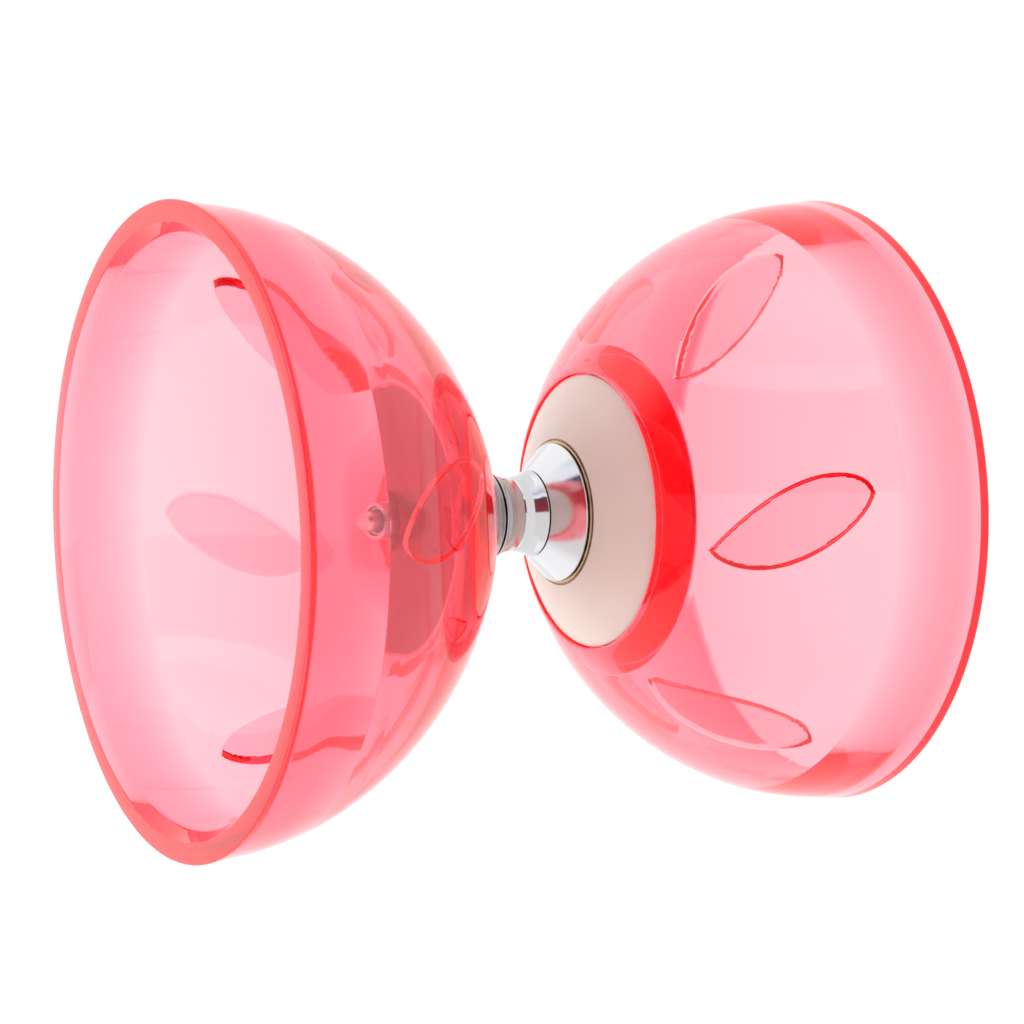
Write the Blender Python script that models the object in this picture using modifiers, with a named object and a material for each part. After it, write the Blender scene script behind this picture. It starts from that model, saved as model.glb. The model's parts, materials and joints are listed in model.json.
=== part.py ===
"""A diabolo on a ball-bearing axle: two translucent cups, polished cones and a free-running string roller.

The axle runs along Z through the origin, and the toy stands on the rim of its lower cup.
Sizes below are in millimetres unless a name says otherwise.
"""

import math

import bmesh
import bpy
from mathutils import Matrix

MM = 0.001

# Overall
RIM_RADIUS = 62.5
HALF_LENGTH = 72.0
GAP = 0.3

# Cup: an elliptical bowl with a slight flare
BOWL_CENTRE = 64.5
BOWL_DEPTH = 56.7
BOWL_FLARE = 0.12
WALL = 3.2
HUB_WALL = 4.8
THIN_HEIGHT = 60.0
HUB_POWER = 2.0
MOUTH_RADIUS = 56.2
LIP_RADIUS = 58.3
LIP_CHAMFER = 2.6
RIM_ROUND = 0.6
SEAT_LIP = 17.5
CUP_STEPS = 44
CUP_STATIONS = 10
HUB_STEPS = 36

# Hub, from the middle outwards
AXLE_RADIUS = 3.0
AXLE_SHOULDER = 24.5
AXLE_END_RADIUS = 2.0
AXLE_HALF = 36.0
BORE = AXLE_RADIUS + GAP
END_BORE = AXLE_END_RADIUS + GAP
WAIST_RADIUS = 7.4
ROLLER_HALF = 4.7
ROLLER_END_RADIUS = 8.7
CONE_FACE = 5.0
CONE_TOP_RADIUS = 8.8
CONE_BASE_RADIUS = 13.8
CONE_BACK = 10.4
CONE_WASHER_RADIUS = 14.3
CONE_WASHER_BACK = 11.2
DISC_RADIUS = 27.4
DISC_EDGE = 17.8
DISC_BACK = 18.4
PLATE_RADIUS = 27.4
PLATE_BACK = 19.5
BASE_FLOOR = 25.0
WASHER_RADIUS = 6.0
WASHER_BACK = 27.8
NUT_FLATS = 7.0
NUT_BACK = 34.7
COLLAR_RADIUS = 3.2

# Ball bearings, three side by side inside the roller
BEARING_WIDTH = 2.9
BEARING_PITCH = BEARING_WIDTH + GAP
INNER_RACE_RADIUS = 3.95
OUTER_RACE_BORE = 5.35
OUTER_RACE_RADIUS = 6.0
BALL_RADIUS = 0.6
BALL_CIRCLE = 4.65
BALLS = 10

# Leaf-shaped petals raised on the inside of each cup
PETALS = 6
PETAL_START = 23.6
PETAL_END = 48.8
PETAL_START_ANGLE = 14.5
PETAL_SWEEP = 15.5
PETAL_HALF_WIDTH = 7.7
PETAL_HEIGHT = 1.6
PETAL_ROOT = 1.2
PETAL_DRAFT = 0.5
LOWER_CUP_TURN = 3.0


def new_collection(name):
    made = bpy.data.collections.new(name)
    bpy.context.scene.collection.children.link(made)
    return made


def material(name, colour, roughness, metallic):
    made = bpy.data.materials.new(name)
    made.use_nodes = True
    shader = made.node_tree.nodes["Principled BSDF"]
    shader.inputs["Base Color"].default_value = (*colour, 1.0)
    shader.inputs["Roughness"].default_value = roughness
    shader.inputs["Metallic"].default_value = metallic
    made.diffuse_color = (*colour, 1.0)
    made.roughness = roughness
    made.metallic = metallic
    return made


def add_object(name, mesh, slot, collection):
    made = bpy.data.objects.new(name, mesh)
    collection.objects.link(made)
    if slot is not None:
        mesh.materials.append(slot)
    return made


def turned(name, profile, slot, steps):
    """A turned piece. The profile holds (radius, height) and runs down the outer side, top to bottom."""
    mesh = bpy.data.meshes.new(name)
    points = [(radius * MM, 0.0, height * MM) for radius, height in profile]
    on_axis = profile[0][0] == 0 and profile[-1][0] == 0
    last = len(points) - 1 if on_axis else len(points)
    edges = [(i, (i + 1) % len(points)) for i in range(last)]
    mesh.from_pydata(points, edges, [])
    made = add_object(name, mesh, slot, parts)
    screw = made.modifiers.new("Turn", "SCREW")
    screw.axis = "Z"
    screw.steps = steps
    screw.render_steps = steps
    screw.use_merge_vertices = True
    screw.merge_threshold = 0.00001
    screw.use_smooth_shade = True
    return made


def flip(made, turn=0.0):
    """Turns a piece of the upper half over into its place in the lower half."""
    made.rotation_euler = (math.pi, 0.0, math.radians(turn))
    return made


def bowl_radius(height):
    reach = max(BOWL_CENTRE - height, 0.0) / BOWL_DEPTH
    return RIM_RADIUS * math.sqrt(1.0 - reach * reach) + BOWL_FLARE * (height - HALF_LENGTH)


def bowl_slope(height):
    return (bowl_radius(height + 0.05) - bowl_radius(height - 0.05)) / 0.1


def wall_point(height, inset):
    """The (radius, height) of a point this far inside the bowl's outer surface."""
    slope = bowl_slope(height)
    length = math.hypot(1.0, slope)
    return bowl_radius(height) - inset / length, height + inset * slope / length


def spaced(first, last, count):
    return [first + (last - first) * i / (count - 1) for i in range(count)]


def outer_heights():
    """Stations closer together near the hub, where the bowl curves most."""
    return [HALF_LENGTH - RIM_ROUND - (HALF_LENGTH - RIM_ROUND - SEAT_LIP) * share ** 0.8
            for share in spaced(0.0, 1.0, CUP_STATIONS)]


def wall_thickness(height):
    """The wall is thin at the mouth and grows towards the hub."""
    share = min(max((THIN_HEIGHT - height) / (THIN_HEIGHT - SEAT_LIP), 0.0), 1.0)
    return WALL + (HUB_WALL - WALL) * share ** HUB_POWER


def inner_wall():
    """Points of the bowl's inner surface, from the floor up to where it meets the straight mouth."""
    points = []
    for step in range(400):
        outside = SEAT_LIP + 0.1 + 0.1 * step
        radius, height = wall_point(outside, wall_thickness(outside))
        if height > BASE_FLOOR + 0.6 and radius < MOUTH_RADIUS:
            points.append((radius, height))
    chosen = [points[round(i)] for i in spaced(0, len(points) - 1, CUP_STATIONS - 1)]
    return chosen


def cup_profile():
    outer = [(bowl_radius(height), height) for height in outer_heights()]
    rim = [(RIM_RADIUS - RIM_ROUND, HALF_LENGTH)]
    seat = [
        (DISC_RADIUS + GAP, SEAT_LIP),
        (DISC_RADIUS + GAP, PLATE_BACK + GAP),
        (BORE, PLATE_BACK + GAP),
        (BORE, BASE_FLOOR),
    ]
    inner = inner_wall()
    floor_edge = (inner[0][0] - 1.2, BASE_FLOOR)
    lip = [(MOUTH_RADIUS, HALF_LENGTH - LIP_CHAMFER), (LIP_RADIUS, HALF_LENGTH)]
    return rim + outer + seat + [floor_edge] + inner + lip


def petal_outline(share):
    """Height, middle angle and half width of a petal, this share of the way from hub to rim."""
    height = PETAL_START + (PETAL_END - PETAL_START) * share
    bend = share + 0.45 * share * (1.0 - share)
    angle = math.radians(PETAL_START_ANGLE - PETAL_SWEEP * bend)
    fullness = (4.0 * share * (1.0 - share)) ** (0.8 - 0.2 * share)
    return height, angle, PETAL_HALF_WIDTH * fullness


def petal_point(share, across, rise, turn):
    height, angle, half_width = petal_outline(share)
    radius, level = wall_point(height, wall_thickness(height) + rise)
    angle += turn + across * half_width / bowl_radius(height)
    return (radius * math.cos(angle) * MM, radius * math.sin(angle) * MM, level * MM)


def add_petal(bm, turn):
    """One closed leaf that stands proud of the bowl's inner surface and is rooted inside its wall."""
    shares = [0.012, 0.06, 0.14, 0.25, 0.38, 0.5, 0.62, 0.75, 0.86, 0.94, 0.988]
    sides = (-1.0, -0.5, 0.0, 0.5, 1.0)
    layers = []
    for rise, spread in ((PETAL_HEIGHT, 0.0), (-PETAL_ROOT, PETAL_DRAFT)):
        rows = []
        for share in shares:
            half_width = petal_outline(share)[2]
            wider = 1.0 + spread / max(half_width, 0.6)
            row = [bm.verts.new(petal_point(share, side * wider, rise, turn)) for side in sides]
            rows.append(row)
        layers.append(rows)
    top, root = layers
    last = len(sides) - 1
    for i in range(len(shares) - 1):
        for j in range(last):
            bm.faces.new((top[i][j], top[i + 1][j], top[i + 1][j + 1], top[i][j + 1]))
            bm.faces.new((root[i][j], root[i][j + 1], root[i + 1][j + 1], root[i + 1][j]))
        bm.faces.new((top[i][0], root[i][0], root[i + 1][0], top[i + 1][0]))
        bm.faces.new((top[i][last], top[i + 1][last], root[i + 1][last], root[i][last]))
    for j in range(last):
        bm.faces.new((top[0][j], top[0][j + 1], root[0][j + 1], root[0][j]))
        bm.faces.new((top[-1][j], root[-1][j], root[-1][j + 1], top[-1][j + 1]))


def petals(name):
    bm = bmesh.new()
    for i in range(PETALS):
        add_petal(bm, 2.0 * math.pi * i / PETALS)
    bmesh.ops.recalc_face_normals(bm, faces=bm.faces)
    mesh = bpy.data.meshes.new(name)
    bm.to_mesh(mesh)
    bm.free()
    made = add_object(name, mesh, None, helpers)
    made.display_type = "WIRE"
    made.hide_render = True
    return made


def cup(side):
    made = turned(side + "_cup", cup_profile(), red_plastic, CUP_STEPS)
    leaves = petals(side + "_petals")
    join = made.modifiers.new("Petals", "BOOLEAN")
    join.operation = "UNION"
    join.solver = "EXACT"
    join.object = leaves
    return made, leaves


def hub_disc(side):
    profile = [
        (DISC_RADIUS, DISC_BACK),
        (DISC_RADIUS, DISC_EDGE),
        (24.6, 15.9),
        (21.2, 13.9),
        (17.8, 12.3),
        (CONE_WASHER_RADIUS + GAP, 11.1),
        (CONE_WASHER_RADIUS + GAP, CONE_WASHER_BACK + GAP),
        (BORE, CONE_WASHER_BACK + GAP),
        (BORE, DISC_BACK),
    ]
    return turned(side + "_hub_disc", profile, ivory_plastic, HUB_STEPS)


def cone(side):
    profile = [
        (CONE_BASE_RADIUS, CONE_BACK),
        (CONE_BASE_RADIUS, CONE_BACK - 0.3),
        (CONE_TOP_RADIUS, CONE_FACE + 0.2),
        (CONE_TOP_RADIUS - 0.2, CONE_FACE),
        (BORE, CONE_FACE),
        (BORE, CONE_BACK),
    ]
    return turned(side + "_cone", profile, polished_aluminium, HUB_STEPS)


def cone_washer(side):
    top = CONE_WASHER_BACK
    bottom = CONE_BACK + GAP
    profile = [(CONE_WASHER_RADIUS, top), (CONE_WASHER_RADIUS, bottom), (BORE, bottom), (BORE, top)]
    return turned(side + "_cone_washer", profile, brass, HUB_STEPS)


def backing_plate(side):
    """The dark plate between the hub disc and the cup."""
    top = PLATE_BACK
    bottom = DISC_BACK + GAP
    profile = [(PLATE_RADIUS, top), (PLATE_RADIUS, bottom), (BORE, bottom), (BORE, top)]
    return turned(side + "_backing_plate", profile, dark_fibre, HUB_STEPS)


def washer(side):
    top = WASHER_BACK
    bottom = BASE_FLOOR + GAP
    profile = [(WASHER_RADIUS, top), (WASHER_RADIUS, bottom), (END_BORE, bottom), (END_BORE, top)]
    return turned(side + "_washer", profile, zinc_steel, 24)


def lock_nut(side):
    """A hexagon with a round collar that holds the locking ring."""
    bottom = WASHER_BACK + GAP
    shoulder = NUT_BACK - 1.6
    bm = bmesh.new()
    corner = NUT_FLATS / 2 / math.cos(math.pi / 6)
    rings = []
    for radius, height, sides in (
        (corner, bottom, 6),
        (corner, shoulder - 0.4, 6),
        (NUT_FLATS / 2 + 0.1, shoulder, 6),
    ):
        rings.append([
            bm.verts.new((
                radius * MM * math.cos(2 * math.pi * i / sides),
                radius * MM * math.sin(2 * math.pi * i / sides),
                height * MM,
            ))
            for i in range(sides)
        ])
    for low, high in zip(rings, rings[1:]):
        for i in range(6):
            j = (i + 1) % 6
            bm.faces.new((low[i], low[j], high[j], high[i]))
    bm.faces.new(rings[0][::-1])
    bm.faces.new(rings[-1])
    mesh = bpy.data.meshes.new(side + "_lock_nut")
    bm.to_mesh(mesh)
    bm.free()
    made = add_object(side + "_lock_nut", mesh, zinc_steel, parts)
    collar = helper_cylinder(side + "_nut_collar", COLLAR_RADIUS + 0.3, shoulder - 1.0, NUT_BACK, 24)
    socket = helper_cylinder(side + "_nut_socket", COLLAR_RADIUS - 0.35, shoulder - 0.2, NUT_BACK + 1.0, 24)
    bore = helper_cylinder(side + "_nut_bore", END_BORE, bottom - 1.0, NUT_BACK + 1.0, 24)
    for helper, operation in ((collar, "UNION"), (socket, "DIFFERENCE"), (bore, "DIFFERENCE")):
        boolean = made.modifiers.new(helper.name, "BOOLEAN")
        boolean.operation = operation
        boolean.solver = "EXACT"
        boolean.object = helper
    return made, [collar, socket, bore]


def helper_cylinder(name, radius, bottom, top, sides):
    bm = bmesh.new()
    bmesh.ops.create_cone(
        bm,
        cap_ends=True,
        segments=sides,
        radius1=radius * MM,
        radius2=radius * MM,
        depth=(top - bottom) * MM,
        matrix=Matrix.Translation((0.0, 0.0, (top + bottom) / 2 * MM)),
    )
    mesh = bpy.data.meshes.new(name)
    bm.to_mesh(mesh)
    bm.free()
    made = add_object(name, mesh, None, helpers)
    made.display_type = "WIRE"
    made.hide_render = True
    return made


def nut_insert(side):
    top = NUT_BACK - 0.2
    bottom = NUT_BACK - 1.5
    outer = COLLAR_RADIUS - 0.55
    profile = [(outer, top), (outer, bottom), (END_BORE, bottom), (END_BORE, top)]
    return turned(side + "_nut_insert", profile, nylon, 24)


def axle():
    """A plain shaft that steps down to a thinner stud, with a chamfered tip, at each end."""
    half = [
        (0.0, AXLE_HALF),
        (AXLE_END_RADIUS - 0.4, AXLE_HALF),
        (AXLE_END_RADIUS, AXLE_HALF - 0.4),
        (AXLE_END_RADIUS, AXLE_SHOULDER),
        (AXLE_RADIUS, AXLE_SHOULDER),
    ]
    profile = half + [(radius, -height) for radius, height in half[::-1]]
    return turned("axle", profile, zinc_steel, 24)


def roller():
    """The string roller: two hollow-ground halves that meet in a shallow groove at the waist."""
    half = [
        (ROLLER_END_RADIUS - 0.15, ROLLER_HALF),
        (ROLLER_END_RADIUS, ROLLER_HALF - 0.15),
        (8.1, 3.4),
        (7.65, 1.9),
        (WAIST_RADIUS, 0.25),
    ]
    bore = OUTER_RACE_RADIUS + GAP
    outer = half + [(WAIST_RADIUS - 0.12, 0.0)] + [(radius, -height) for radius, height in half[::-1]]
    return turned("roller", outer + [(bore, -ROLLER_HALF), (bore, ROLLER_HALF)], polished_aluminium, HUB_STEPS)


def ring(name, inner, outer, middle, width, slot, steps):
    top = middle + width / 2
    bottom = middle - width / 2
    return turned(name, [(outer, top), (outer, bottom), (inner, bottom), (inner, top)], slot, steps)


def ball_cage(name, middle):
    """The balls of one bearing, held by a ring that runs through them."""
    made = ring(name, BALL_CIRCLE - 0.2, BALL_CIRCLE + 0.2, middle, 0.5, bearing_steel, 30)
    bm = bmesh.new()
    for i in range(BALLS):
        angle = 2.0 * math.pi * i / BALLS
        place = Matrix.Translation((
            BALL_CIRCLE * MM * math.cos(angle),
            BALL_CIRCLE * MM * math.sin(angle),
            middle * MM,
        ))
        bmesh.ops.create_icosphere(bm, subdivisions=1, radius=BALL_RADIUS * MM, matrix=place)
    mesh = bpy.data.meshes.new(name + "_balls")
    bm.to_mesh(mesh)
    bm.free()
    balls = add_object(name + "_balls", mesh, None, helpers)
    balls.display_type = "WIRE"
    balls.hide_render = True
    join = made.modifiers.new("Balls", "BOOLEAN")
    join.operation = "UNION"
    join.solver = "EXACT"
    join.object = balls
    return made


def bearing(number, middle):
    name = f"bearing_{number}"
    ring(name + "_inner_race", BORE, INNER_RACE_RADIUS, middle, BEARING_WIDTH, bearing_steel, 24)
    ring(name + "_outer_race", OUTER_RACE_BORE, OUTER_RACE_RADIUS, middle, BEARING_WIDTH, bearing_steel, 24)
    ball_cage(name + "_ball_cage", middle)


def half(side):
    """Every piece of one half. The lower half is the upper one turned over."""
    cup_object, leaves = cup(side)
    nut, nut_helpers = lock_nut(side)
    pieces = [
        hub_disc(side),
        cone(side),
        cone_washer(side),
        backing_plate(side),
        washer(side),
        nut_insert(side),
        nut,
        *nut_helpers,
    ]
    if side == "lower":
        flip(cup_object, LOWER_CUP_TURN)
        flip(leaves, LOWER_CUP_TURN)
        for piece in pieces:
            flip(piece)


for old in list(bpy.data.objects):
    bpy.data.objects.remove(old)

parts = new_collection("Diabolo")
helpers = new_collection("Helpers")
helpers.hide_render = True

red_plastic = material("red_plastic", (0.85, 0.06, 0.07), 0.08, 0.0)
ivory_plastic = material("ivory_plastic", (0.80, 0.73, 0.66), 0.35, 0.0)
polished_aluminium = material("polished_aluminium", (0.82, 0.82, 0.84), 0.12, 1.0)
dark_fibre = material("dark_fibre", (0.14, 0.03, 0.035), 0.4, 0.0)
zinc_steel = material("zinc_steel", (0.55, 0.56, 0.58), 0.3, 1.0)
bearing_steel = material("bearing_steel", (0.60, 0.60, 0.62), 0.1, 1.0)
brass = material("brass", (0.70, 0.50, 0.22), 0.25, 1.0)
nylon = material("nylon", (0.85, 0.86, 0.88), 0.4, 0.0)

axle()
roller()
for index, place in enumerate((-BEARING_PITCH, 0.0, BEARING_PITCH), start=1):
    bearing(index, place)
for name in ("upper", "lower"):
    half(name)
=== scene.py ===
"""Looks for a translucent red ball-bearing diabolo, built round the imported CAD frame.

The axle runs along Z through the origin, and the toy stands on the rim of its lower cup.
Sizes are in millimetres unless a name says otherwise.
"""

import json
import math

import bpy
from mathutils import Matrix, Vector


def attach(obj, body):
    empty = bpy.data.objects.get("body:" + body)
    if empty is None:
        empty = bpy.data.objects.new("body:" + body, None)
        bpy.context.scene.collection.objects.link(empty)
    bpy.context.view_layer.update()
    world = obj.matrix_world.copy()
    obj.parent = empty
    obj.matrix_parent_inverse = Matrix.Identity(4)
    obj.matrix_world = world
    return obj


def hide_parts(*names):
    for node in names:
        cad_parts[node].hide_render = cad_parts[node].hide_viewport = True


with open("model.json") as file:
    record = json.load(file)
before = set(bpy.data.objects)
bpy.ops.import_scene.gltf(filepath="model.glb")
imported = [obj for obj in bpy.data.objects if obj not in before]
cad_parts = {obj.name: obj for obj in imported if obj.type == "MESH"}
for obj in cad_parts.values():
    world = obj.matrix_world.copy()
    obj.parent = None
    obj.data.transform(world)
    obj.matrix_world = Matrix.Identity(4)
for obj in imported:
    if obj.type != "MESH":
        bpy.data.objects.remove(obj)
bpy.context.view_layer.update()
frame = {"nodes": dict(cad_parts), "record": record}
scene = bpy.context.scene
MM = 0.001

# Cup: an elliptical bowl with a slight flare. Heights run along the axle from its middle.
RIM_RADIUS = 62.5
HALF_LENGTH = 72.0
BOWL_CENTRE = 64.5
BOWL_DEPTH = 56.7
BOWL_FLARE = 0.12
SLOPE_REACH = 0.05
OUTSIDE_SPLIT = 56.0

# Wall: thin from THIN_HEIGHT to the mouth, and growing from there to the hub
WALL = 3.2
HUB_WALL = 4.8
THIN_HEIGHT = 60.0
HUB_POWER = 2.0

# Lip of the cup
MOUTH_RADIUS = 56.2
LIP_RADIUS = 58.3
LIP_CHAMFER = 2.6
LIP_EDGE = 0.9

# Floor of the cup and the seat under it
SEAT_LIP = 17.5
SEAT_EDGE = 0.25
BASE_FLOOR = 25.0
FLOOR_START = 14.0
CORNER_REACH = 2.5
CORNER_INSET = 0.7
BORE = 3.3
END_BORE = 2.3
GAP = 0.3

# Leaf-shaped petals raised on the inside of each cup
PETALS = 6
PETAL_START = 23.6
PETAL_END = 48.8
PETAL_START_ANGLE = 14.5
PETAL_SWEEP = 15.5
PETAL_BEND = 0.45
PETAL_HALF_WIDTH = 7.7
PETAL_HEIGHT = 1.6
PETAL_EDGE = 0.9
LOWER_CUP_TURN = 3.0

# Hub disc, backing plate, cone, thin ring and washer
DISC_RADIUS = 27.4
DISC_EDGE = 17.8
DISC_BACK = 18.4
RECESS_RADIUS = 14.6
RECESS_EDGE = 11.1
RECESS_FLOOR = 11.5
PLATE_RADIUS = 27.4
PLATE_BACK = 19.5
CONE_RADIUS = 13.8
CONE_EDGE = 10.1
CONE_BACK = 10.4
CONE_NECK = 8.8
CONE_TOP = 5.0
RING_RADIUS = 14.3
RING_FRONT = 10.7
RING_BACK = 11.2
WASHER_RADIUS = 6.0
WASHER_BACK = 27.8

# Roller that the string runs on
ROLLER_HALF = 4.7
ROLLER_BORE = 6.3
ROLLER_GROOVE = 7.28

TURNED_STEPS = 192
WASHER_STEPS = 96
CREASE = 30.0
CAD_CREASE = 32.0


# ---------------------------------------------------------------- geometry


def smoothstep(value):
    value = min(max(value, 0.0), 1.0)
    return value * value * (3.0 - 2.0 * value)


def bowl_radius(height):
    reach = max(BOWL_CENTRE - height, 0.0) / BOWL_DEPTH
    return RIM_RADIUS * math.sqrt(1.0 - reach * reach) + BOWL_FLARE * (height - HALF_LENGTH)


def bowl_slope(height):
    rise = bowl_radius(height + SLOPE_REACH) - bowl_radius(height - SLOPE_REACH)
    return rise / (2.0 * SLOPE_REACH)


def wall_point(height, inset):
    """The (radius, height) of a point this far inside the bowl's outer surface."""
    slope = bowl_slope(height)
    length = math.hypot(1.0, slope)
    return bowl_radius(height) - inset / length, height + inset * slope / length


ARC_STEPS = 5


def rounded(corners):
    """A profile with rounded corners, each (radius, height) or (radius, height, fillet)."""
    count = len(corners)
    points = []
    for i, corner in enumerate(corners):
        fillet = corner[2] if len(corner) > 2 else 0.0
        here = Vector(corner[:2])
        if fillet <= 0.0:
            points.append(tuple(here))
            continue
        before = Vector(corners[(i - 1) % count][:2]) - here
        after = Vector(corners[(i + 1) % count][:2]) - here
        half_angle = before.angle(after) / 2.0
        reach = fillet / math.tan(half_angle)
        reach = min(reach, 0.48 * before.length, 0.48 * after.length)
        fillet = reach * math.tan(half_angle)
        start = here + before.normalized() * reach
        end = here + after.normalized() * reach
        centre = here + (before.normalized() + after.normalized()).normalized() * (
            fillet / math.sin(half_angle))
        for k in range(ARC_STEPS + 1):
            along = (start - centre).lerp(end - centre, k / ARC_STEPS)
            points.append(tuple(centre + along.normalized() * fillet))
    return points


def ring_point(radius, height, angle):
    return radius * MM * math.cos(angle), radius * MM * math.sin(angle), height * MM


def closed_grid(rows, count):
    """Faces of a grid that closes on itself both ways."""
    faces = []
    for i in range(rows):
        a, b = i * count, ((i + 1) % rows) * count
        for k in range(count):
            j = (k + 1) % count
            faces.append((a + k, b + k, b + j, a + j))
    return faces


def revolved(name, profile, steps, shader):
    """A turned piece, built as one clean grid. The profile runs down the outer side."""
    vertices = [
        ring_point(radius, height, 2.0 * math.pi * k / steps)
        for radius, height in profile for k in range(steps)
    ]
    return add_piece(name, vertices, closed_grid(len(profile), steps), shader)


def add_piece(name, vertices, faces, shader):
    mesh = bpy.data.meshes.new(name)
    mesh.from_pydata(vertices, [], faces)
    mesh.validate()
    mesh.shade_smooth()
    mesh.set_sharp_from_angle(angle=math.radians(CREASE))
    mesh.materials.append(shader)
    made = bpy.data.objects.new(name, mesh)
    scene.collection.objects.link(made)
    return made


def petal_angle(share):
    """The middle angle of a petal, in degrees, this share of the way from hub to rim."""
    share = min(max(share, 0.0), 1.0)
    bend = share + PETAL_BEND * share * (1.0 - share)
    return PETAL_START_ANGLE - PETAL_SWEEP * bend


def petal_half_width(share):
    """Half width of a petal's foot, in millimetres, and zero past its two ends."""
    margin = PETAL_EDGE / (PETAL_END - PETAL_START) * 0.6
    inside = (share + margin) / (1.0 + 2.0 * margin)
    if inside <= 0.0 or inside >= 1.0:
        return 0.0
    fullness = (4.0 * inside * (1.0 - inside)) ** (0.8 - 0.2 * inside)
    return (PETAL_HALF_WIDTH + 0.5 * PETAL_EDGE) * fullness


# Grid columns across half a petal and beyond it, as shares, closest together at its edge
ACROSS = (0.0, 0.16, 0.32, 0.46, 0.58, 0.68, 0.76, 0.82, 0.865, 0.9, 0.93, 0.955, 0.98, 1.0)
OUTSIDE = (0.06, 0.16, 0.32, 0.52, 0.76)
SECTOR = 360.0 / PETALS


def column_places():
    """Each column of the cup's grid: (petal number, side, share across it, share beyond it)."""
    side = [(u, 0.0) for u in ACROSS] + [(1.0, v) for v in OUTSIDE]
    left = [(-1, u, v) for u, v in reversed(side[1:])]
    right = [(1, u, v) for u, v in side]
    edge = [(1, 1.0, 1.0)]
    return [(petal, *place) for petal in range(PETALS) for place in left + right + edge]


def wall_thickness(height):
    """The wall is thin at the mouth and grows towards the hub."""
    share = min(max((THIN_HEIGHT - height) / (THIN_HEIGHT - SEAT_LIP), 0.0), 1.0)
    return WALL + (HUB_WALL - WALL) * share ** HUB_POWER


def spread(spans):
    """Evenly spaced values over (first, last, count) spans, and then the last one's end."""
    values = [
        first + (last - first) * i / count
        for first, last, count in spans for i in range(count)
    ]
    return values + [spans[-1][1]]


def inner_ends():
    """Outside heights whose inner points are the floor's edge and the foot of the mouth."""
    heights = [SEAT_LIP + 0.02 * step for step in range(2600)]
    points = [(wall_point(height, wall_thickness(height)), height) for height in heights]
    inside = [height for (radius, level), height in points
              if level > BASE_FLOOR + 0.5 and radius < MOUTH_RADIUS - 0.02]
    return inside[0], inside[-1]


def petal_row(height, columns, align):
    """(angle, rise) of each column on one row of the inner surface."""
    share = (height - PETAL_START) / (PETAL_END - PETAL_START)
    half_width = petal_half_width(share)
    step = 0.002
    slope = (petal_half_width(share + step) - petal_half_width(share - step)) / (
        2.0 * step * (PETAL_END - PETAL_START) * math.hypot(1.0, bowl_slope(height)))
    foot = math.degrees(max(half_width, 1.0) / bowl_radius(height))
    found = []
    for k, (petal, side, across, beyond) in enumerate(columns):
        even = even_angle(k, len(columns))
        place = across * foot + beyond * (SECTOR / 2.0 - foot)
        aligned = petal * SECTOR + petal_angle(share) + side * place
        inset = half_width - across * max(half_width, 1.0)
        inset = max(inset, 0.0) / math.hypot(1.0, slope)
        rise = PETAL_HEIGHT * smoothstep(inset / PETAL_EDGE) if beyond == 0.0 else 0.0
        found.append((math.radians(even + (aligned - even) * align), rise))
    return found


def even_angle(k, count):
    return 360.0 * k / count - SECTOR / 2.0 + 180.0 / count + petal_angle(0.5)


def cup(name):
    """One cup as a single grid: down the outside, across the seat and floor, up the inside."""
    columns = column_places()
    count = len(columns)
    even = [math.radians(even_angle(k, count)) for k in range(count)]
    first, last = inner_ends()
    at_floor = [angle for angle, _ in petal_row(first, columns, 1.0)]
    rows = []

    def add_ring(points, angles):
        for radius, height in points:
            rows.append([(radius, height, angle) for angle in angles])

    outside = spread([
        (HALF_LENGTH - LIP_EDGE, OUTSIDE_SPLIT, 14),
        (OUTSIDE_SPLIT, SEAT_LIP + SEAT_EDGE, 56),
    ])
    add_ring([(bowl_radius(height), height) for height in outside], even)
    floor_radius, floor_level = wall_point(first, wall_thickness(first))
    base = rounded([
        (bowl_radius(SEAT_LIP + SEAT_EDGE), SEAT_LIP + SEAT_EDGE),
        (bowl_radius(SEAT_LIP) - 0.2, SEAT_LIP, 0.2),
        (DISC_RADIUS + GAP, SEAT_LIP, 0.15),
        (DISC_RADIUS + GAP, PLATE_BACK + GAP, 0.2),
        (BORE, PLATE_BACK + GAP),
        (BORE, BASE_FLOOR),
        (FLOOR_START, BASE_FLOOR),
    ])[1:]
    add_ring(base, even)
    across = spread([(FLOOR_START, floor_radius - CORNER_REACH, 8)])[1:]
    for i, radius in enumerate(across):
        share = (i + 1) / len(across)
        angles = [a + (b - a) * share for a, b in zip(even, at_floor)]
        add_ring([(radius, BASE_FLOOR)], angles)
    corner = rounded([
        (floor_radius - CORNER_REACH, BASE_FLOOR),
        (floor_radius - CORNER_INSET, BASE_FLOOR, 0.8),
        (floor_radius, floor_level),
    ])[1:-1]
    add_ring(corner, at_floor)
    heights = spread([
        (first, PETAL_START + 4.0, 24),
        (PETAL_START + 4.0, PETAL_END - 5.0, 34),
        (PETAL_END - 5.0, PETAL_END + 1.6, 26),
        (PETAL_END + 1.6, last, 14),
    ])
    for height in heights:
        align = smoothstep((last - height) / (last - PETAL_END))
        fade = smoothstep((height - first) / 1.2)
        row = []
        for angle, rise in petal_row(height, columns, align):
            radius, level = wall_point(height, wall_thickness(height) + rise * fade)
            row.append((radius, level, angle))
        rows.append(row)
    mouth = rounded([
        wall_point(last, wall_thickness(last)),
        (MOUTH_RADIUS, HALF_LENGTH - LIP_CHAMFER, 1.5),
        (LIP_RADIUS, HALF_LENGTH, 0.35),
        (bowl_radius(HALF_LENGTH), HALF_LENGTH, 0.7),
        (bowl_radius(HALF_LENGTH - LIP_EDGE), HALF_LENGTH - LIP_EDGE),
    ])[1:-1]
    add_ring(mouth, even)
    vertices = [ring_point(*point) for row in rows for point in row]
    return add_piece(name, vertices, closed_grid(len(rows), count), red)


# ---------------------------------------------------------------- materials

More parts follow.
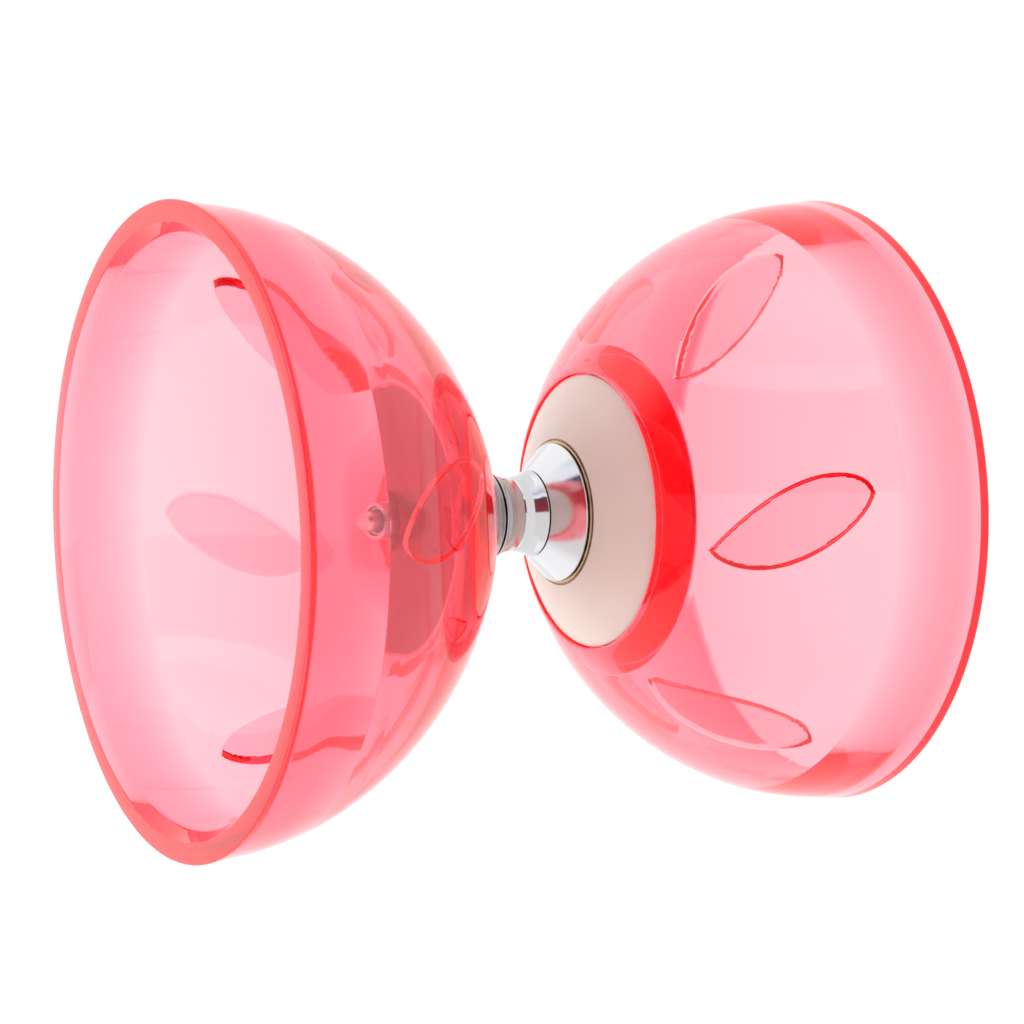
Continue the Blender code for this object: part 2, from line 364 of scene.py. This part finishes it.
# Red plastic: how strongly and in what colour its volume absorbs, and its painted glow, emission
# that stands in for scattered light, as (height in millimetres, strength) stops, stronger at the
# hub and toward the rim
DENSITY = 212.0
STAIN = (0.98, 0.18, 0.33)
PLASTIC_IOR = 1.49
PAINTED_GLOW = ((24.5, 0.10), (28.0, 0.06), (54.0, 0.06), (60.0, 0.12), (67.0, 0.20))
PAINTED_GLOW_COLOUR = (1.0, 0.04, 0.06)
FLOOR_GLOW = 0.98

# Noise values lie mostly between these two
NOISE_LOW = 0.3
NOISE_HIGH = 0.7


def new_material(name, colour, roughness, metallic=0.0):
    made = bpy.data.materials.new(name)
    made.use_nodes = True
    shader = made.node_tree.nodes["Principled BSDF"]
    shader.inputs["Base Color"].default_value = (*colour, 1.0)
    shader.inputs["Roughness"].default_value = roughness
    shader.inputs["Metallic"].default_value = metallic
    return made, made.node_tree, shader


def node(tree, kind, **values):
    made = tree.nodes.new(kind)
    for key, value in values.items():
        if key in made.inputs:
            made.inputs[key].default_value = value
        else:
            setattr(made, key, value)
    return made


def object_noise(tree, scale, detail):
    place = node(tree, "ShaderNodeTexCoord")
    noise = node(tree, "ShaderNodeTexNoise", Scale=scale, Detail=detail)
    tree.links.new(place.outputs["Object"], noise.inputs["Vector"])
    return noise.outputs["Fac"]


def own_place(tree):
    """A point's X, Y and Z on its own piece."""
    split = node(tree, "ShaderNodeSeparateXYZ")
    tree.links.new(node(tree, "ShaderNodeTexCoord").outputs["Object"], split.inputs["Vector"])
    return split.outputs


def axis_distance(tree):
    """How far a point is from the axle."""
    place = own_place(tree)
    squares = [node(tree, "ShaderNodeMath", operation="MULTIPLY") for _ in range(2)]
    for axis, square in zip("XY", squares):
        tree.links.new(place[axis], square.inputs[0])
        tree.links.new(place[axis], square.inputs[1])
    total = node(tree, "ShaderNodeMath", operation="ADD")
    tree.links.new(squares[0].outputs[0], total.inputs[0])
    tree.links.new(squares[1].outputs[0], total.inputs[1])
    root = node(tree, "ShaderNodeMath", operation="SQRT")
    tree.links.new(total.outputs[0], root.inputs[0])
    return root.outputs[0]


def lathe_lines(tree, scale):
    """A value that changes only along the profile of a turned piece, as tool marks do."""
    join = node(tree, "ShaderNodeCombineXYZ")
    tree.links.new(axis_distance(tree), join.inputs["X"])
    tree.links.new(own_place(tree)["Z"], join.inputs["Y"])
    noise = node(tree, "ShaderNodeTexNoise", Scale=scale, Detail=4.0, Roughness=0.65)
    tree.links.new(join.outputs["Vector"], noise.inputs["Vector"])
    return noise.outputs["Fac"]


def ranged(tree, source, low, high, start=NOISE_LOW, end=NOISE_HIGH):
    """The source's span from start to end, stretched to run from low to high."""
    made = node(tree, "ShaderNodeMapRange")
    made.inputs["From Min"].default_value = start
    made.inputs["From Max"].default_value = end
    made.inputs["To Min"].default_value = low
    made.inputs["To Max"].default_value = high
    tree.links.new(source, made.inputs["Value"])
    return made.outputs["Result"]


def tinted(tree, source, first, second):
    """A colour that runs from the first to the second as the noise rises."""
    ramp = node(tree, "ShaderNodeValToRGB")
    ramp.color_ramp.elements[0].position = NOISE_LOW
    ramp.color_ramp.elements[1].position = NOISE_HIGH
    ramp.color_ramp.elements[0].color = (*first, 1.0)
    ramp.color_ramp.elements[1].color = (*second, 1.0)
    tree.links.new(source, ramp.inputs["Fac"])
    return ramp.outputs["Color"]


def bumped(tree, shader, source, strength, distance):
    bump = node(tree, "ShaderNodeBump", Strength=strength, Distance=distance)
    tree.links.new(source, bump.inputs["Height"])
    tree.links.new(bump.outputs["Normal"], shader.inputs["Normal"])


def painted_glow_by_height(tree):
    """Painted glow: emission standing in for light scattered in the tinted plastic, stronger at
    the hub and toward the rim.
    """
    height = node(tree, "ShaderNodeMath", operation="ABSOLUTE")
    tree.links.new(own_place(tree)["Z"], height.inputs[0])
    ramp = node(tree, "ShaderNodeValToRGB")
    elements = ramp.color_ramp.elements
    for place_at, strength in PAINTED_GLOW:
        elements.new(place_at / HALF_LENGTH).color = (strength, strength, strength, 1.0)
    elements.remove(elements[0])
    elements.remove(elements[-1])
    share = ranged(tree, height.outputs[0], 0.0, 1.0, 0.0, HALF_LENGTH * MM)
    tree.links.new(share, ramp.inputs["Fac"])
    return ramp.outputs["Color"]


def red_plastic():
    made, tree, shader = new_material("red_plastic", (1.0, 1.0, 1.0), 0.03)
    shader.inputs["Transmission Weight"].default_value = 1.0
    shader.inputs["IOR"].default_value = PLASTIC_IOR
    absorb = node(tree, "ShaderNodeVolumeAbsorption", Density=DENSITY)
    absorb.inputs["Color"].default_value = (*STAIN, 1.0)
    tree.links.new(absorb.outputs["Volume"], tree.nodes["Material Output"].inputs["Volume"])
    # Painted glow: red emission on the plastic, standing in for scattered light, set by height
    # along the axle
    shader.inputs["Emission Color"].default_value = (*PAINTED_GLOW_COLOUR, 1.0)
    tree.links.new(painted_glow_by_height(tree), shader.inputs["Emission Strength"])
    bumped(tree, shader, object_noise(tree, 45.0, 2.0), 0.12, 0.0004)
    return made


def ivory_plastic():
    made, tree, shader = new_material("ivory_plastic", (0.80, 0.69, 0.62), 0.35)
    cloud = object_noise(tree, 60.0, 4.0)
    colour = tinted(tree, cloud, (0.78, 0.66, 0.595), (0.82, 0.71, 0.645))
    tree.links.new(colour, shader.inputs["Base Color"])
    satin = ranged(tree, object_noise(tree, 700.0, 3.0), 0.30, 0.42)
    tree.links.new(satin, shader.inputs["Roughness"])
    bumped(tree, shader, object_noise(tree, 1600.0, 3.0), 0.08, 0.0001)
    return made


def polished_aluminium():
    made, tree, shader = new_material("polished_aluminium", (0.58, 0.58, 0.60), 0.1, 1.0)
    lines = lathe_lines(tree, 2600.0)
    tree.links.new(ranged(tree, lines, 0.06, 0.16), shader.inputs["Roughness"])
    bumped(tree, shader, lines, 0.10, 0.00004)
    return made


# Near-black maroon for the backing plate: painted shade, a dark plate where the ivory disc's unlit
# back shows through the cup's floor
def dark_fibre():
    made, tree, shader = new_material("dark_fibre", (0.05, 0.008, 0.012), 0.4)
    cloud = object_noise(tree, 260.0, 5.0)
    colour = tinted(tree, cloud, (0.04, 0.006, 0.009), (0.07, 0.012, 0.016))
    tree.links.new(colour, shader.inputs["Base Color"])
    tree.links.new(ranged(tree, cloud, 0.34, 0.5), shader.inputs["Roughness"])
    bumped(tree, shader, object_noise(tree, 1200.0, 4.0), 0.1, 0.00005)
    return made


def zinc_steel():
    made, tree, shader = new_material("zinc_steel", (0.55, 0.56, 0.58), 0.3, 1.0)
    cloud = object_noise(tree, 500.0, 4.0)
    colour = tinted(tree, cloud, (0.50, 0.52, 0.55), (0.62, 0.62, 0.60))
    tree.links.new(colour, shader.inputs["Base Color"])
    tree.links.new(ranged(tree, cloud, 0.22, 0.4), shader.inputs["Roughness"])
    return made


def bearing_steel():
    made, tree, shader = new_material("bearing_steel", (0.60, 0.60, 0.62), 0.1, 1.0)
    tree.links.new(ranged(tree, lathe_lines(tree, 3000.0), 0.06, 0.18), shader.inputs["Roughness"])
    return made


def brass():
    made, tree, shader = new_material("brass", (0.55, 0.38, 0.22), 0.25, 1.0)
    cloud = object_noise(tree, 400.0, 4.0)
    colour = tinted(tree, cloud, (0.42, 0.27, 0.15), (0.62, 0.44, 0.26))
    tree.links.new(colour, shader.inputs["Base Color"])
    tree.links.new(ranged(tree, cloud, 0.2, 0.45), shader.inputs["Roughness"])
    return made


def nylon():
    made, tree, shader = new_material("nylon", (0.85, 0.86, 0.88), 0.4)
    shader.inputs["Subsurface Weight"].default_value = 0.3
    cloud = object_noise(tree, 600.0, 3.0)
    colour = tinted(tree, cloud, (0.80, 0.82, 0.85), (0.88, 0.88, 0.88))
    tree.links.new(colour, shader.inputs["Base Color"])
    return made


def pale_floor():
    made, tree, shader = new_material("pale_floor", (0.15, 0.15, 0.15), 0.9)
    shader.inputs["Emission Color"].default_value = (1.0, 1.0, 1.0, 1.0)
    shader.inputs["Emission Strength"].default_value = FLOOR_GLOW
    return made


red = red_plastic()
ivory = ivory_plastic()
aluminium = polished_aluminium()
painted_shade_plate = dark_fibre()
zinc = zinc_steel()
bearing = bearing_steel()
brass_ring = brass()
nylon_ring = nylon()
BY_SLOT = {
    "zinc_steel": zinc,
    "bearing_steel": bearing,
    "nylon": nylon_ring,
    "dark_fibre": painted_shade_plate,
    "brass": brass_ring,
    "polished_aluminium": aluminium,
    "ivory_plastic": ivory,
    "red_plastic": red,
}
for part in frame["record"]["subparts"]:
    kept = frame["nodes"][part["node"]]
    kept.data.materials.clear()
    kept.data.materials.append(BY_SLOT[part["material_slot"]])
    kept.data.shade_smooth()
    kept.data.set_sharp_from_angle(angle=math.radians(CAD_CREASE))


# ---------------------------------------------------------------- pieces


def place(made, node_name, slot, body="cups_and_axle"):
    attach(made, body)
    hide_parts(node_name)
    return made


def turned(side, part, corners, slot, steps=TURNED_STEPS):
    """One turned piece of a half. The lower half is the upper one turned over."""
    made = revolved(f"{side}_{part}_detail", rounded(corners), steps, BY_SLOT[slot])
    if side == "lower":
        made.data.transform(Matrix.Rotation(math.pi, 4, "X"))
    return place(made, f"{side}_{part}", slot)


def half(side):
    made = cup(f"{side}_cup_detail")
    if side == "lower":
        made.data.transform(Matrix.Rotation(math.pi, 4, "X"))
        made.data.transform(Matrix.Rotation(math.radians(LOWER_CUP_TURN), 4, "Z"))
    place(made, f"{side}_cup", "red_plastic")
    turned(side, "hub_disc", [
        (DISC_RADIUS, DISC_BACK, 0.2),
        (DISC_RADIUS, DISC_EDGE, 0.35),
        (24.6, 15.9, 20.0),
        (21.2, 13.9, 16.0),
        (17.8, 12.3, 12.0),
        (RECESS_RADIUS, RECESS_EDGE, 0.12),
        (RECESS_RADIUS, RECESS_FLOOR),
        (BORE, RECESS_FLOOR),
        (BORE, DISC_BACK),
    ], "ivory_plastic")
    turned(side, "cone", [
        (CONE_RADIUS, CONE_BACK),
        (CONE_RADIUS, CONE_EDGE, 0.12),
        (CONE_NECK, CONE_TOP + 0.2, 0.1),
        (CONE_NECK - 0.2, CONE_TOP, 0.1),
        (BORE, CONE_TOP),
        (BORE, CONE_BACK),
    ], "polished_aluminium")
    turned(side, "cone_washer", [
        (RING_RADIUS, RING_BACK, 0.15),
        (RING_RADIUS, RING_FRONT, 0.15),
        (BORE, RING_FRONT),
        (BORE, RING_BACK),
    ], "brass")
    # Backing plate: a dark plate behind the ivory disc that stands in for the shade there
    turned(side, "backing_plate", [
        (PLATE_RADIUS, PLATE_BACK, 0.2),
        (PLATE_RADIUS, DISC_BACK + GAP, 0.2),
        (BORE, DISC_BACK + GAP),
        (BORE, PLATE_BACK),
    ], "dark_fibre")
    turned(side, "washer", [
        (WASHER_RADIUS, WASHER_BACK, 0.4),
        (WASHER_RADIUS, BASE_FLOOR + GAP, 0.15),
        (END_BORE, BASE_FLOOR + GAP),
        (END_BORE, WASHER_BACK, 0.15),
    ], "zinc_steel", WASHER_STEPS)


for half_name in ("upper", "lower"):
    half(half_name)

roller_side = [
    (8.7, ROLLER_HALF, 0.15),
    (8.62, 4.4),
    (8.1, 3.4, 3.0),
    (7.65, 1.9, 3.0),
    (7.4, 0.25, 0.08),
]
roller_profile = (
    roller_side
    + [(ROLLER_GROOVE, 0.0)]
    + [(point[0], -point[1], *point[2:]) for point in roller_side[::-1]]
    + [(ROLLER_BORE, -ROLLER_HALF), (ROLLER_BORE, ROLLER_HALF)]
)
roller = revolved("roller_detail", rounded(roller_profile), TURNED_STEPS, aluminium)
place(roller, "roller", "polished_aluminium", "roller")


# ---------------------------------------------------------------- stage

# Studio: the sky's strength, and where the room takes over from plain white, as the cosine of
# the angle to the camera's direction
SKY = 1.5
ROOM_EDGE = 0.0
ROOM_FULL = 0.35

# Heights of the table's edge and the soft box in the room, as directions along Y
HORIZON = 0.08
BOX_LOW = 0.68
BOX_HIGH = 0.8
BOX_FADE = 0.06
SHARP = 0.004


def up_to(height):
    """A direction's height from -1 to 1, as a place from 0 to 1 on the ramp."""
    return 0.5 + 0.5 * height


ROOM = (
    (0.0, (0.78, 0.75, 0.73)),
    (up_to(HORIZON) - SHARP, (0.74, 0.71, 0.70)),
    (up_to(HORIZON) + SHARP, (0.26, 0.035, 0.05)),
    (up_to(BOX_LOW) - BOX_FADE, (0.2, 0.03, 0.045)),
    (up_to(BOX_LOW) - SHARP, (0.03, 0.04, 0.07)),
    (up_to(BOX_LOW) + SHARP, (0.9, 0.9, 0.95)),
    (up_to(BOX_HIGH) - SHARP, (0.9, 0.9, 0.95)),
    (up_to(BOX_HIGH) + SHARP, (0.45, 0.47, 0.54)),
    (1.0, (0.45, 0.47, 0.54)),
)

CAMERA_AT = (0.58279, 0.03380, 0.31187)
CAMERA_TURN = (-2.9143, 59.9412, -2.5231)
FLOOR_HALF = 4.0
FLOOR_LEVEL = -0.0722

camera = bpy.data.objects.new("photo_camera", bpy.data.cameras.new("photo_camera"))
scene.collection.objects.link(camera)
scene.camera = camera
camera.location = CAMERA_AT
camera.rotation_euler = [math.radians(angle) for angle in CAMERA_TURN]
camera.data.sensor_width = 36.0
camera.data.lens = 117.0
camera.data.shift_x = -0.0994
camera.data.shift_y = -0.1248
camera.data.clip_start = 0.01

corners = ((-1, -1), (1, -1), (1, 1), (-1, 1))
floor = add_piece(
    "floor",
    [(x * FLOOR_HALF, y * FLOOR_HALF, FLOOR_LEVEL) for x, y in corners],
    [(0, 1, 2, 3)],
    pale_floor(),
)


def world_light():
    """White all round, but toward the photographer a dark room with a pale table and a long
    soft box."""
    world = bpy.data.worlds.new("studio")
    scene.world = world
    world.use_nodes = True
    tree = world.node_tree
    background = tree.nodes["Background"]
    direction = node(tree, "ShaderNodeTexCoord").outputs["Generated"]
    dot = node(tree, "ShaderNodeVectorMath", operation="DOT_PRODUCT")
    dot.inputs[1].default_value = Vector(CAMERA_AT).normalized()
    tree.links.new(direction, dot.inputs[0])
    split = node(tree, "ShaderNodeSeparateXYZ")
    tree.links.new(direction, split.inputs["Vector"])
    ramp = node(tree, "ShaderNodeValToRGB")
    elements = ramp.color_ramp.elements
    for place_at, colour in ROOM:
        stop = elements.new(place_at)
        stop.color = (*colour, 1.0)
    elements.remove(elements[0])
    elements.remove(elements[-1])
    tree.links.new(ranged(tree, split.outputs["Y"], 0.0, 1.0, -1.0, 1.0), ramp.inputs["Fac"])
    blend = node(tree, "ShaderNodeMix", data_type="RGBA")
    toward = ranged(tree, dot.outputs["Value"], 0.0, 1.0, ROOM_EDGE, ROOM_FULL)
    tree.links.new(toward, blend.inputs["Factor"])
    blend.inputs[6].default_value = (1.0, 1.0, 1.0, 1.0)
    tree.links.new(ramp.outputs["Color"], blend.inputs[7])
    tree.links.new(blend.outputs[2], background.inputs["Color"])
    background.inputs["Strength"].default_value = SKY


world_light()
scene.view_settings.view_transform = "Standard"
scene.cycles.max_bounces = 24
scene.cycles.transmission_bounces = 20
scene.cycles.glossy_bounces = 10
